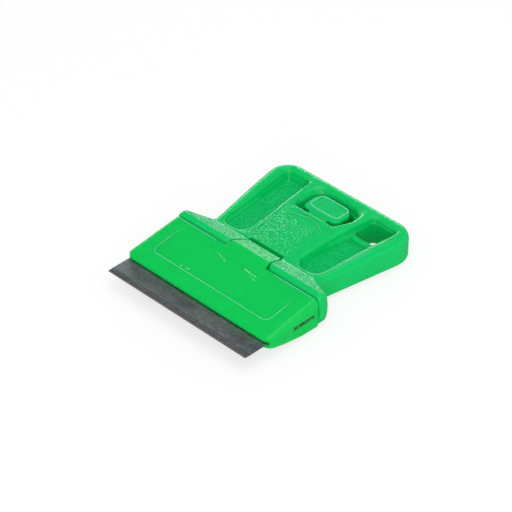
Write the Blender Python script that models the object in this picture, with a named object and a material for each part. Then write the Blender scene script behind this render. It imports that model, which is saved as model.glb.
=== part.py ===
"""Pocket scraper for a single-edge blade, modelled at real size in metres.

The blade and its folded spine sit in the blade head. The head's tongue seats in a notch of
the handle's cross bar. A latch arm under the tongue runs through a tunnel in the handle to a
press tab in the rear well, where its catch holds on the end of the tunnel's roof.

Frame: +X is the width, +Y runs from the cutting edge to the rear of the handle, +Z is up.
The origin lies under the middle of the part, on the surface that it rests on.
"""

import math

import bmesh
import bpy
from mathutils import Matrix, Vector

# Clearances and helpers shared by all pieces
FIT_GAP = 0.0003
OVERRUN = 0.0040
ARC_STEPS = 8
ARC_EDGE_SHARE = 0.96
SHORTEST_SPLIT = 0.0006

# Blade and its folded spine. Distances back are taken from the cutting edge, and
# heights from the blade's middle plane.
BLADE_WIDTH = 0.0390
BLADE_DEPTH = 0.0189
BLADE_THICKNESS = 0.0003
EDGE_THICKNESS = 0.00004
GRIND_LENGTH = 0.0011
SPINE_LENGTH = 0.0060
SPINE_THICKNESS = 0.0013
SPINE_WALL = 0.0004
CRIMP_GAP = 0.0001
SPINE_FOLD_STEPS = 4

# Blade head, a wedge round the blade
BLADE_SHOW = 0.0056
HEAD_SIDE_WALL = 0.0004
HEAD_WIDTH = BLADE_WIDTH + 2 * (FIT_GAP + HEAD_SIDE_WALL)
POCKET_SPARE = 0.0008
HEAD_BACK = BLADE_DEPTH + POCKET_SPARE
LIP_HALF_THICKNESS = 0.0009
LIP_ROUND_LENGTH = 0.0005
LIP_ROUND_RISE = 0.00135
HEAD_KNEE_LENGTH = 0.0024
HEAD_KNEE_BACK = BLADE_SHOW + HEAD_KNEE_LENGTH
HEAD_KNEE_RISE = 0.0018
HEAD_REAR_RISE = 0.0035
HEAD_BELLY_LENGTH = 0.0050
HEAD_BELLY_BACK = BLADE_SHOW + HEAD_BELLY_LENGTH
HEAD_BELLY_DROP = 0.0021
HEAD_HEEL_LENGTH = 0.0047
HEAD_HEEL_DROP = 0.0028
HEAD_REAR_DROP = 0.0030
HEAD_CORNER_RADIUS = 0.0018
HEAD_EDGE_ROUND = 0.0005
HEAD_END_ROUND_LENGTH = 0.0013
HEAD_END_FALL_SHARE = 0.42
WINDOW_HEIGHT = 0.0009

# Recessed panel on top of the head, by its margins
PANEL_SIDE_MARGIN = 0.0039
PANEL_FRONT_MARGIN = 0.0036
PANEL_REAR_MARGIN = 0.0021
PANEL_FRONT_DEPTH = 0.0003
PANEL_REAR_DEPTH = 0.0001
PANEL_CORNER_RADIUS = 0.0015

# Cross bar of the handle. Its lengths run back from its front face.
BASE_DROP = 0.0033
BAR_FRONT = HEAD_BACK + FIT_GAP
BAR_FRONT_RISE = 0.0036
BAR_END_PROUD = 0.00025
BAR_WIDTH = HEAD_WIDTH + 2 * BAR_END_PROUD
RIDGE_LENGTH = 0.00125
RIDGE_BACK = BAR_FRONT + RIDGE_LENGTH
RIDGE_RISE = 0.00403
BAR_END_LENGTH = 0.0024
BAR_ROOT_LENGTH = 0.0051
BAR_SLOPE_LENGTH = 0.0052
BAR_SLOPE_BACK = BAR_FRONT + BAR_SLOPE_LENGTH
BAR_EDGE_ROUND = 0.0006
BAR_PROUD = 0.0001
BAR_BURIED = 0.0008
STOP_RIB_INSET = 0.0030
STOP_RIB_HEIGHT = 0.0010

# Grip of the handle
HANDLE_LENGTH = 0.0310
OVERALL_LENGTH = BAR_FRONT + HANDLE_LENGTH
BAR_OVERHANG = 0.0052
NECK_WIDTH = HEAD_WIDTH - 2 * BAR_OVERHANG
NECK_FILLET_RADIUS = 0.0030
NECK_RISE = 0.00235
GRIP_FLARE = 0.0036
GRIP_WIDTH = NECK_WIDTH + 2 * GRIP_FLARE
GRIP_REAR_LENGTH = 0.0055
GRIP_CORNER_RADIUS = 0.0046
RIM_RISE = 0.0033
RIM_ROUND = 0.0019
RIM_UNDER_ROUND = 0.0012

# Tunnel for the latch arm, under the slab
ARM_WIDTH = 0.0096
TUNNEL_SIDE_GAP = 0.0004
TUNNEL_WIDTH = ARM_WIDTH + 2 * TUNNEL_SIDE_GAP
TUNNEL_FLOOR_DROP = 0.0017
TUNNEL_SIDE_WALL = 0.0015
SLAB_THICKNESS = 0.00125

# Well round the press tab. Its lengths run back from the end of the slab's slope.
WELL_REAR_RIM = 0.0014
WELL_LENGTH = 0.0102
WELL_BACK = OVERALL_LENGTH - WELL_REAR_RIM
SLAB_CREASE_BACK = WELL_BACK - WELL_LENGTH
CREASE_BLEND = 0.0020
CREASE_STEPS = 6
WELL_FRONT_MARGIN = 0.0005
WELL_MIDDLE_MARGIN = 0.0030
WELL_FRONT_WIDTH = ARM_WIDTH + 2 * WELL_FRONT_MARGIN
WELL_MIDDLE_WIDTH = ARM_WIDTH + 2 * WELL_MIDDLE_MARGIN
WELL_MIDDLE_LENGTH = 0.0043
WELL_REAR_NARROWING = 0.0004
WELL_REAR_RADIUS = 0.0030
WELL_SIDE_RADIUS = 0.0024
WELL_WALL_LEAN = 0.0017
WELL_FLOOR_BACK = WELL_BACK - WELL_WALL_LEAN
WELL_FLOOR_RISE = 0.0010
WELL_FLOOR_BOW = 0.0003
WELL_STEPS = 10

# Troughs beside the middle slab, on the top and on the underside
TROUGH_SPARE = 0.0003
TROUGH_FRONT = BAR_SLOPE_BACK + TROUGH_SPARE
TROUGH_REAR_RIM = 0.0016
TROUGH_BACK = OVERALL_LENGTH - TROUGH_REAR_RIM
SLAB_BEND_LENGTH = 0.0078
SLAB_BEND_BACK = BAR_SLOPE_BACK + SLAB_BEND_LENGTH
SLAB_FLARE = 0.0017
SLAB_FRONT_WIDTH = TUNNEL_WIDTH + 2 * TUNNEL_SIDE_WALL
SLAB_EDGE_ROUND = 0.0007
SLAB_EDGE_BLEND = 0.0020
RIM_FRONT_WIDTH = 0.0010
RIM_REAR_WIDTH = 0.0014
RIM_INNER_ROUND = 0.0013
UNDER_EDGE_ROUND = 0.0004
TROUGH_DRAFT = 0.0004
TROUGH_FLOOR_ROUND = 0.0003
RIM_FLOOR_ROUND = 0.0008
TROUGH_CORNER_SPARE = 0.0002
TROUGH_CORNER_RADIUS = RIM_INNER_ROUND + TROUGH_DRAFT + RIM_FLOOR_ROUND + TROUGH_CORNER_SPARE
UNDER_FLOOR_ROUND = 0.0006
ROUND_DEPTH_SHARE = 0.8
WEB_THICKNESS = 0.0012
WALL_STEPS = 7

# Ring hole behind the right-hand trough, and the low wall between the two
RING_HOLE_LENGTH = 0.00745
RING_HOLE_RADIUS = 0.0012
CROSS_WALL_BACK = TROUGH_BACK - RING_HOLE_LENGTH
CROSS_WALL_LEAD = 0.0062
CROSS_WALL_THICKNESS = 0.0008
CROSS_WALL_RISE = 0.0018
WALL_STEP = 0.00005

# Tongue of the head, in the notch of the cross bar
TONGUE_FRONT_WIDTH = 0.0110
TONGUE_REAR_WIDTH = 0.0090
TONGUE_SPARE = 0.00015
TONGUE_BACK = BAR_SLOPE_BACK + TONGUE_SPARE
POCKET_ROOF_SPARE = 0.00005
TONGUE_UNDERSIDE = SPINE_THICKNESS / 2 + FIT_GAP + POCKET_ROOF_SPARE
TONGUE_FRONT_ROUND = 0.0011
TONGUE_SINK = 0.0001
NOTCH_SPARE = 0.00085
NOTCH_BACK = TONGUE_BACK + NOTCH_SPARE

# Thumb scoop in the slab
SCOOP_RADIUS = 0.0059
SCOOP_FRONT_OF_WELL = 0.0006
SCOOP_BACK = SLAB_CREASE_BACK - SCOOP_FRONT_OF_WELL
SCOOP_DEPTH = 0.00035
SCOOP_ANGLE = math.radians(3.4)

# Latch arm with its catch and press tab
ARM_FRONT_SPARE = 0.00015
ARM_FRONT = RIDGE_BACK + ARM_FRONT_SPARE
ARM_THICKNESS = 0.0011
ARM_PIVOT_LENGTH = 0.0010
ARM_PIVOT_BACK = ARM_FRONT + ARM_PIVOT_LENGTH
CATCH_HEIGHT = 0.0006
CATCH_LEAN = 0.0001
ARM_NECK_WIDTH = 0.0048
ARM_NECK_LEAD = 0.0008
ARM_NECK_ROUND = 0.0005
TAB_SHOULDER_LENGTH = 0.0016
TAB_SHOULDER_ROUND = 0.0012
TAB_FRONT_LENGTH = 0.0024
TAB_FRONT = SLAB_CREASE_BACK + TAB_FRONT_LENGTH
TAB_FRONT_RISE = 0.00285
TAB_REAR_RISE = 0.0029
TAB_REAR_GAP = 0.0010
TAB_BACK = WELL_FLOOR_BACK - TAB_REAR_GAP
TAB_REAR_CORNER_RADIUS = 0.0020
TAB_REAR_BOW = 0.0008
TAB_BOW_RADIUS = 0.0090
TAB_EDGE_ROUND = 0.0002
TAB_SIDE_ROUND = 0.0006
TAB_SIDE_SPARE = 0.0001
CORE_WALL = 0.0011
CORE_DEPTH = 0.0012


def back(distance):
    """Y of a place at this distance behind the cutting edge."""
    return distance - OVERALL_LENGTH / 2


def rise(height):
    """Z of a place at this height over the blade's middle plane."""
    return height + BASE_DROP


def between(low, high, start, end, place):
    """Value on the straight line from (start, low) to (end, high) at this place."""
    return low + (high - low) * (place - start) / (end - start)


def remove_old_objects():
    for old in list(bpy.data.objects):
        bpy.data.objects.remove(old, do_unlink=True)


def plastic(name, colour, roughness):
    """A moulded plastic with one colour."""
    material = bpy.data.materials.new(name)
    material.use_nodes = True
    shader = material.node_tree.nodes["Principled BSDF"]
    shader.inputs["Base Color"].default_value = (*colour, 1)
    shader.inputs["Roughness"].default_value = roughness
    shader.inputs["Metallic"].default_value = 0
    return material


def steel(name, colour, roughness):
    """A sheet steel with one colour."""
    material = plastic(name, colour, roughness)
    material.node_tree.nodes["Principled BSDF"].inputs["Metallic"].default_value = 1
    return material


def new_object(name, mesh, material=None):
    piece = bpy.data.objects.new(name, mesh)
    bpy.context.collection.objects.link(piece)
    if material:
        mesh.materials.append(material)
    return piece


def finished_mesh(name, form):
    """Write the bmesh with its faces turned outwards."""
    bmesh.ops.recalc_face_normals(form, faces=form.faces)
    mesh = bpy.data.meshes.new(name)
    form.to_mesh(mesh)
    form.free()
    return mesh


def loft(name, rings, material=None):
    """Join rings of equally many points with side faces, and close both ends."""
    form = bmesh.new()
    loops = [[form.verts.new(point) for point in ring] for ring in rings]
    count = len(loops[0])
    for lower, upper in zip(loops, loops[1:]):
        for i in range(count):
            j = (i + 1) % count
            form.faces.new((lower[i], lower[j], upper[j], upper[i]))
    form.faces.new(loops[0])
    form.faces.new(loops[-1])
    return new_object(name, finished_mesh(name, form), material)


def corner_lines(corners, i):
    """A corner, the directions to its two neighbours and the distances to them."""
    here = Vector(corners[i][:2])
    before = Vector(corners[i - 1][:2]) - here
    after = Vector(corners[(i + 1) % len(corners)][:2]) - here
    return here, before, after


def corner_reach(corners, i):
    """Length of edge that the arc at this corner takes up, before any limit."""
    here, before, after = corner_lines(corners, i)
    return corners[i][2] / math.tan(before.angle(after) / 2)


def rounded(corners):
    """Outline from corners (x, y, radius), with an arc at each corner that has a radius.

    Where the arcs at both ends of an edge need more than its length, they share most of it.
    """
    points = []
    count = len(corners)
    for i in range(count):
        here, before, after = corner_lines(corners, i)
        reach = corner_reach(corners, i)
        if not reach:
            points.append(here)
            continue
        both_before = reach + corner_reach(corners, i - 1)
        both_after = reach + corner_reach(corners, (i + 1) % count)
        room = min(before.length / both_before, after.length / both_after)
        reach *= min(1, ARC_EDGE_SHARE * room)
        half = before.angle(after) / 2
        before.normalize()
        after.normalize()
        centre = here + (before + after).normalized() * reach / math.cos(half)
        start = here + before * reach - centre
        end = here + after * reach - centre
        sweep = start.angle_signed(end)
        for step in range(ARC_STEPS + 1):
            turned = start.copy()
            turned.rotate(Matrix.Rotation(-sweep * step / ARC_STEPS, 2))
            points.append(centre + turned)
    return points


def split_at(outline, place):
    """The outline with a point added where it crosses this distance back.

    None is added close to a point that the outline has already.
    """
    points = []
    for i, point in enumerate(outline):
        last = outline[i - 1]
        if (last.y - place) * (point.y - place) < 0:
            new = last.lerp(point, (place - last.y) / (point.y - last.y))
            if min((new - last).length, (new - point).length) > SHORTEST_SPLIT:
                points.append(new)
        points.append(point)
    return points


def drawn_in(outline, distances):
    """The outline with each point moved in by its own distance, along its normal."""
    moved = []
    count = len(outline)
    for i, point in enumerate(outline):
        before = (point - outline[i - 1]).normalized()
        after = (outline[(i + 1) % count] - point).normalized()
        if not before.length:
            before = after
        if not after.length:
            after = before
        along = (before + after).normalized()
        normal = Vector((-along.y, along.x))
        square = max(normal.dot(Vector((-after.y, after.x))), 0.5)
        moved.append(point + normal * distances[i] / square)
    return moved


def inset(outline, distance):
    """The outline drawn in by this distance along the normals of its points."""
    return drawn_in(outline, [distance] * len(outline))


def mirrored(half):
    """Whole outline from the corners of its right half, listed from front to rear."""
    return half + [(-x, y, radius) for x, y, radius in reversed(half)]


def plan(outline, height):
    return [(point.x, back(point.y), height) for point in outline]


def prism(name, outline, low, high, material=None):
    """Solid between two heights over an outline seen from above."""
    return loft(name, [plan(outline, rise(low)), plan(outline, rise(high))], material)


def bar(name, profile, width, material=None):
    """Solid of this width with a profile of points (distance back, height)."""
    rings = []
    for x in (-width / 2, width / 2):
        rings.append([(x, back(place), rise(height)) for place, height in profile])
    return loft(name, rings, material)


def combine(piece, other, operation):
    """Boolean of the piece with a hidden helper solid."""
    modifier = piece.modifiers.new(other.name, "BOOLEAN")
    modifier.object = other
    modifier.operation = operation
    modifier.solver = "EXACT"
    other.hide_render = True
    other.display_type = "WIRE"


def round_edges(piece, width, angle, segments=3):
    modifier = piece.modifiers.new("rounded edges", "BEVEL")
    modifier.width = width
    modifier.segments = segments
    modifier.limit_method = "ANGLE"
    modifier.angle_limit = angle


def smooth(piece, angle=math.radians(30)):
    piece.data.shade_smooth()
    piece.data.set_sharp_from_angle(angle=angle)


def head_top(place):
    """Height of the sloping top of the head over the blade's plane."""
    return between(HEAD_KNEE_RISE, HEAD_REAR_RISE, HEAD_KNEE_BACK, HEAD_BACK, place)


def slab_top(place):
    """Height of the middle slab, which climbs from the neck to the rear."""
    return between(NECK_RISE, RIM_RISE, BAR_SLOPE_BACK, SLAB_CREASE_BACK, place)


def crease_places():
    """Distances back at which the grip's top bends, from its slope to its level rear."""
    start = SLAB_CREASE_BACK - CREASE_BLEND
    step = 2 * CREASE_BLEND / CREASE_STEPS
    return [start + step * i for i in range(CREASE_STEPS + 1)]


def top_of_rim(place):
    """Height of the grip's top, which bends from its slope to its level rear in an arc."""
    before = SLAB_CREASE_BACK - place
    if before >= CREASE_BLEND:
        return slab_top(place)
    if before <= -CREASE_BLEND:
        return RIM_RISE
    fall = RIM_RISE - slab_top(SLAB_CREASE_BACK - CREASE_BLEND)
    return RIM_RISE - fall * ((before + CREASE_BLEND) / (2 * CREASE_BLEND)) ** 2


def slab_side(place):
    """Distance from the middle to the edge of the slab between the troughs."""
    flare = between(0, SLAB_FLARE, SLAB_BEND_BACK, TROUGH_BACK, place)
    return SLAB_FRONT_WIDTH / 2 + max(0, flare)


def rim_side(place):
    """Distance from the middle to the inner edge of the rim beside the troughs."""
    front = NECK_WIDTH / 2 - RIM_FRONT_WIDTH
    rear = GRIP_WIDTH / 2 - RIM_REAR_WIDTH
    return between(front, rear, TROUGH_FRONT, TROUGH_BACK, place)


def tunnel_roof(place):
    return slab_top(place) - SLAB_THICKNESS


def arm_top(place):
    return tunnel_roof(place) - FIT_GAP


def make_blade(material):
    """Flat blade with its edge ground from both sides."""
    half = BLADE_THICKNESS / 2
    edge = EDGE_THICKNESS / 2
    rear = BLADE_DEPTH - SPINE_WALL - CRIMP_GAP
    profile = [
        (0, -edge),
        (GRIND_LENGTH, -half),
        (rear, -half),
        (rear, half),
        (GRIND_LENGTH, half),
        (0, edge),
    ]
    return bar("blade", profile, BLADE_WIDTH, material)


def fold_arc(radius):
    """Half circle of the spine's fold, from its underside to its top."""
    centre = BLADE_DEPTH - SPINE_THICKNESS / 2
    points = []
    for step in range(SPINE_FOLD_STEPS + 1):
        angle = math.pi * step / SPINE_FOLD_STEPS - math.pi / 2
        points.append((centre + radius * math.cos(angle), radius * math.sin(angle)))
    return points


def make_spine(material):
    """Steel strip folded round the rear of the blade."""
    outer = SPINE_THICKNESS / 2
    inner = outer - SPINE_WALL
    front = BLADE_DEPTH - SPINE_LENGTH
    profile = [(front, -outer)] + fold_arc(outer) + [(front, outer)]
    profile += [(front, inner)] + fold_arc(inner)[::-1] + [(front, -inner)]
    return bar("blade_spine", profile, BLADE_WIDTH, material)


def head_block(material):
    """Wedge of the head, with rounded front corners and ends that roll down at the top."""
    under = [
        (BLADE_SHOW, -LIP_HALF_THICKNESS),
        (HEAD_BELLY_BACK, -HEAD_BELLY_DROP),
        (HEAD_BACK - HEAD_HEEL_LENGTH, -HEAD_HEEL_DROP),
        (HEAD_BACK, -HEAD_REAR_DROP),
    ]
    top = [
        (HEAD_BACK, HEAD_REAR_RISE),
        (HEAD_KNEE_BACK, HEAD_KNEE_RISE),
        (BLADE_SHOW + LIP_ROUND_LENGTH, LIP_ROUND_RISE),
        (BLADE_SHOW, LIP_HALF_THICKNESS),
    ]
    half = HEAD_WIDTH / 2
    sections = [(half + OVERRUN, 1)]
    for step in reversed(range(ARC_STEPS + 1)):
        angle = math.pi / 2 * step / ARC_STEPS
        drawn = HEAD_END_ROUND_LENGTH * (1 - math.sin(angle))
        sections.append((half - drawn, 1 - math.cos(angle)))
    rings = []
    for x, fall in sections + [(-x, fall) for x, fall in reversed(sections)]:
        lowered = [(place, height * (1 - HEAD_END_FALL_SHARE * fall)) for place, height in top]
        rings.append([(x, back(place), rise(height)) for place, height in under + lowered])
    head = loft("blade_head", rings, material)
    outline = rounded(mirrored([(half, BLADE_SHOW, HEAD_CORNER_RADIUS), (half, HEAD_BACK, 0)]))
    combine(head, prism("head_outline", outline, -OVERRUN, OVERRUN), "INTERSECT")
    round_edges(head, HEAD_EDGE_ROUND, math.radians(40))
    return head


def tongue():
    """Tongue behind the head, narrower to the rear, with the cross bar's ridge on top."""
    root = HEAD_BACK - TONGUE_FRONT_ROUND
    profile = [
        (root, TONGUE_UNDERSIDE),
        (TONGUE_BACK, TONGUE_UNDERSIDE),
        (TONGUE_BACK, bar_top(TONGUE_BACK)),
        (RIDGE_BACK, RIDGE_RISE),
        (HEAD_BACK, HEAD_REAR_RISE),
        (root, head_top(root) - TONGUE_SINK),
    ]
    piece = bar("tongue", profile, HEAD_WIDTH)
    front = TONGUE_FRONT_WIDTH / 2
    rear = TONGUE_REAR_WIDTH / 2
    flare = front + TONGUE_FRONT_ROUND
    half = [
        (flare, root, 0),
        (flare, HEAD_BACK, 0),
        (front, HEAD_BACK, TONGUE_FRONT_ROUND / 2),
        (rear, TONGUE_BACK, TONGUE_FRONT_ROUND / 2),
    ]
    outline = rounded(mirrored(half))
    combine(piece, prism("tongue_outline", outline, 0, RIDGE_RISE + OVERRUN), "INTERSECT")
    return piece


def panel_recess():
    """Shallow recess in the sloping top of the head, deepest at the front."""
    half = HEAD_WIDTH / 2 - PANEL_SIDE_MARGIN
    front = BLADE_SHOW + PANEL_FRONT_MARGIN
    rear = HEAD_BACK - PANEL_REAR_MARGIN
    corners = [(half, front, PANEL_CORNER_RADIUS), (half, rear, PANEL_CORNER_RADIUS)]
    outline = rounded(mirrored(corners))
    floor = []
    mouth = []
    for point in outline:
        depth = between(PANEL_FRONT_DEPTH, PANEL_REAR_DEPTH, front, rear, point.y)
        floor.append((point.x, back(point.y), rise(head_top(point.y) - depth)))
        mouth.append((point.x, back(point.y), rise(head_top(point.y) + OVERRUN)))
    return loft("panel_recess", [floor, mouth])


def blade_pocket():
    """Space for the blade and its spine, open at the lip and at the rear of the head."""
    thin = BLADE_THICKNESS / 2 + FIT_GAP
    thick = SPINE_THICKNESS / 2 + FIT_GAP
    front = BLADE_SHOW - OVERRUN
    step = BLADE_DEPTH - SPINE_LENGTH - FIT_GAP
    rear = HEAD_BACK + OVERRUN / 2
    profile = [
        (front, -thin),
        (step, -thin),
        (step, -thick),
        (rear, -thick),
        (rear, thick),
        (step, thick),
        (step, thin),
        (front, thin),
    ]
    return bar("blade_pocket", profile, BLADE_WIDTH + 2 * FIT_GAP)


def side_windows():
    """Slots through both side walls of the head, at the ends of the spine."""
    half = WINDOW_HEIGHT / 2
    front = BLADE_DEPTH - SPINE_LENGTH
    profile = [(front, -half), (BLADE_DEPTH, -half), (BLADE_DEPTH, half), (front, half)]
    return bar("side_windows", profile, HEAD_WIDTH + OVERRUN)


def make_head(material):
    head = head_block(material)
    combine(head, tongue(), "UNION")
    for cutter in (panel_recess(), blade_pocket(), side_windows()):
        combine(head, cutter, "DIFFERENCE")
    return head


def bar_top(place):
    """Height of the cross bar's rear slope."""
    return between(RIDGE_RISE, NECK_RISE, RIDGE_BACK, BAR_SLOPE_BACK, place)


def bar_corners(margin, end_radius, root_radius):
    """Right half of the cross bar seen from above, drawn in by this margin."""
    end = BAR_WIDTH / 2 - margin
    return [
        (end, BAR_FRONT, 0),
        (end, BAR_FRONT + BAR_END_LENGTH - margin, end_radius),
        (NECK_WIDTH / 2 - margin, BAR_FRONT + BAR_ROOT_LENGTH - margin, root_radius),
    ]


def cross_bar():
    """Bar across the front of the handle, with a ridge on top and sloping rear ends."""
    rear = BAR_SLOPE_BACK + BAR_BURIED
    profile = [
        (BAR_FRONT, -BASE_DROP),
        (rear, -BASE_DROP),
        (rear, bar_top(rear)),
        (RIDGE_BACK, RIDGE_RISE),
        (BAR_FRONT, BAR_FRONT_RISE),
    ]
    piece = bar("cross_bar", profile, BAR_WIDTH + OVERRUN)
    half = bar_corners(0, 0, 0)
    buried = BAR_FRONT + BAR_ROOT_LENGTH + BAR_BURIED
    inner = between(half[1][0], half[2][0], half[1][1], half[2][1], buried)
    half.append((inner, buried, 0))
    outline = rounded(mirrored(half))
    whole = prism("bar_outline", outline, -BASE_DROP - OVERRUN, RIDGE_RISE + OVERRUN)
    combine(piece, whole, "INTERSECT")
    round_edges(piece, BAR_EDGE_ROUND, math.radians(44))
    return piece


def stop_rib():
    """Rib on the front of the cross bar that keeps the spine forward in its pocket."""
    half = STOP_RIB_HEIGHT / 2
    profile = [
        (BLADE_DEPTH + FIT_GAP, -half),
        (RIDGE_BACK, -half),
        (RIDGE_BACK, half),
        (BLADE_DEPTH + FIT_GAP, half),
    ]
    return bar("stop_rib", profile, BLADE_WIDTH - 2 * STOP_RIB_INSET)


def rim_rings(outline):
    """Rings of the grip from its underside up, drawn in along the rounded edges."""
    rings = []
    for step in range(ARC_STEPS + 1):
        angle = math.pi / 2 * step / ARC_STEPS
        drawn = RIM_UNDER_ROUND * (1 - math.sin(angle))
        rings.append((drawn, -BASE_DROP + RIM_UNDER_ROUND * (1 - math.cos(angle))))
    for step in range(ARC_STEPS + 1):
        angle = math.pi / 2 * step / ARC_STEPS
        drawn = RIM_ROUND * (1 - math.cos(angle))
        rings.append((drawn, RIM_RISE - RIM_ROUND * (1 - math.sin(angle))))
    return [plan(inset(outline, drawn), rise(height)) for drawn, height in rings]


def slope_the_slab(piece):
    """Lower the top forward of its level rear, down to the height at the neck."""
    form = bmesh.new()
    form.from_mesh(piece.data)
    for place in crease_places():
        point = Vector((0, back(place), 0))
        geometry = form.verts[:] + form.edges[:] + form.faces[:]
        bmesh.ops.bisect_plane(form, geom=geometry, plane_co=point, plane_no=(0, 1, 0))
    for vertex in form.verts:
        height = vertex.co.z - rise(0)
        if height > 0:
            top = top_of_rim(vertex.co.y + OVERALL_LENGTH / 2)
            vertex.co.z = rise(height * top / RIM_RISE)
    form.to_mesh(piece.data)
    form.free()


def front_trim():
    """Cuts the rounded rim off flat at the front of the cross bar."""
    front = BAR_FRONT - OVERRUN
    rear = BAR_FRONT + BAR_PROUD
    high = RIM_RISE + OVERRUN
    low = -BASE_DROP - OVERRUN
    profile = [(front, low), (rear, low), (rear, high), (front, high)]
    return bar("front_trim", profile, BAR_WIDTH + OVERRUN)


def grip_body(material):
    """Grip that widens to the rear, with rounded rims that run out along the cross bar."""
    wide = OVERALL_LENGTH - GRIP_REAR_LENGTH
    half = bar_corners(BAR_PROUD, RIM_ROUND + BAR_EDGE_ROUND, NECK_FILLET_RADIUS)
    half[0] = (half[0][0], BAR_FRONT - RIM_ROUND, 0)
    half += [
        (GRIP_WIDTH / 2, wide, GRIP_CORNER_RADIUS),
        (GRIP_WIDTH / 2, OVERALL_LENGTH, GRIP_CORNER_RADIUS),
    ]
    handle = loft("handle", rim_rings(rounded(mirrored(half))), material)
    slope_the_slab(handle)
    combine(handle, front_trim(), "DIFFERENCE")
    return handle


def pocket_outline(front, rear, front_radius, rear_radius):
    """Outline between the slab and the right-hand rim, from front to rear."""
    corners = [
        (slab_side(front), front, front_radius),
        (rim_side(front), front, front_radius),
        (rim_side(rear), rear, rear_radius),
        (slab_side(rear), rear, rear_radius),
    ]
    if front < SLAB_BEND_BACK < rear:
        corners.append((slab_side(SLAB_BEND_BACK), SLAB_BEND_BACK, GRIP_WIDTH))
    outline = rounded(corners)
    for place in crease_places():
        outline = split_at(outline, place)
    return outline


def across(outline):
    """The same outline on the left-hand side."""
    return [Vector((-point.x, point.y)) for point in reversed(outline)]


def rim_share(point):
    """0 at the slab's side, and 1 from a little way out of it to the rim."""
    return min(1, max(0, (abs(point.x) - slab_side(point.y)) / SLAB_EDGE_BLEND))


def floor_round(point):
    """Radius at the foot of a trough's wall, small at the slab and large at the rim."""
    return between(TROUGH_FLOOR_ROUND, RIM_FLOOR_ROUND, 0, 1, rim_share(point))


def edge_round(point):
    """Radius of a trough's top edge, small at the slab and large at the rim.

    It is limited by the height of the wall.
    """
    radius = between(SLAB_EDGE_ROUND, RIM_INNER_ROUND, 0, 1, rim_share(point))
    wall = top_of_rim(point.y) - WEB_THICKNESS / 2 - floor_round(point)
    return min(radius, ROUND_DEPTH_SHARE * wall)


def floor_rings(outline, rounds, feet, face):
    """Rings up the rounded foot of a trough's wall, from its floor."""
    rings = []
    for step in range(WALL_STEPS + 1):
        angle = math.pi / 2 * step / WALL_STEPS
        leans = []
        for radius, foot in zip(rounds, feet):
            leans.append(radius + TROUGH_DRAFT + foot * (1 - math.sin(angle)))
        ring = []
        for point, foot in zip(drawn_in(outline, leans), feet):
            height = WEB_THICKNESS / 2 + foot * (1 - math.cos(angle))
            ring.append((point.x, back(point.y), rise(face * height)))
        rings.append(ring)
    return rings


def mouth_rings(outline, rounds, face):
    """Rings up the rounded edge of a mouth, and on past its surface.

    The mouth is in the top for face 1, and in the underside for face -1.
    """
    angles = [math.pi / 2 * step / WALL_STEPS for step in range(WALL_STEPS)]
    levels = [(math.cos(angle), 1 - math.sin(angle)) for angle in angles]
    levels.append((-levels[-1][0], -levels[-1][1]))
    rings = []
    for drawn, below in levels:
        moved = drawn_in(outline, [radius * drawn for radius in rounds])
        ring = []
        for point, radius in zip(moved, rounds):
            surface = top_of_rim(point.y) if face > 0 else BASE_DROP
            ring.append((point.x, back(point.y), rise(face * (surface - radius * below))))
        rings.append(ring)
    return rings + [plan(moved, rise(face * (RIM_RISE + OVERRUN)))]


def top_trough(name, outline):
    """Trough in the top, down to the web."""
    rounds = [edge_round(point) for point in outline]
    feet = [floor_round(point) for point in outline]
    return loft(name, floor_rings(outline, rounds, feet, 1) + mouth_rings(outline, rounds, 1))


def under_trough(name, outline):
    """Trough in the underside, up to the web."""
    rounds = [UNDER_EDGE_ROUND] * len(outline)
    feet = [UNDER_FLOOR_ROUND] * len(outline)
    return loft(name, floor_rings(outline, rounds, feet, -1) + mouth_rings(outline, rounds, -1))


def lean_at_cross_wall(point):
    """How far the wall below this point of a mouth is drawn in at the cross wall's top."""
    radius = edge_round(point)
    low = WEB_THICKNESS / 2 + floor_round(point)
    share = (CROSS_WALL_RISE - low) / (top_of_rim(point.y) - radius - low)
    return radius + TROUGH_DRAFT * (1 - share)


def rim_lean():
    """Lean of the rim's wall at the top of the cross wall."""
    return lean_at_cross_wall(Vector((rim_side(CROSS_WALL_BACK), CROSS_WALL_BACK)))


def right_pocket():
    """Pocket over the cross wall and the ring hole, with the walls of the troughs."""
    front = CROSS_WALL_BACK - CROSS_WALL_THICKNESS - CROSS_WALL_LEAD
    outline = pocket_outline(front, TROUGH_BACK, 0, TROUGH_CORNER_RADIUS)
    rounds = [edge_round(point) for point in outline]
    leans = [lean_at_cross_wall(point) for point in outline]
    foot = plan(drawn_in(outline, leans), rise(CROSS_WALL_RISE))
    return loft("right_pocket", [foot] + mouth_rings(outline, rounds, 1))


def ring_hole():
    """Opening right through the handle behind the right-hand trough."""
    slab_edge = Vector((slab_side(CROSS_WALL_BACK), CROSS_WALL_BACK))
    near = lean_at_cross_wall(slab_edge) + WALL_STEP
    far = rim_lean() + WALL_STEP
    rear = TROUGH_BACK - far
    corners = [
        (slab_side(CROSS_WALL_BACK) + near, CROSS_WALL_BACK, RING_HOLE_RADIUS),
        (rim_side(CROSS_WALL_BACK) - far, CROSS_WALL_BACK, RING_HOLE_RADIUS),
        (rim_side(rear) - far, rear, RING_HOLE_RADIUS),
        (slab_side(rear) + near, rear, RING_HOLE_RADIUS),
    ]
    outline = rounded(corners)
    rounds = [UNDER_EDGE_ROUND] * len(outline)
    rings = mouth_rings(inset(outline, -UNDER_EDGE_ROUND), rounds, -1)[::-1]
    return loft("ring_hole", rings + [plan(outline, rise(RIM_RISE + OVERRUN))])


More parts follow.
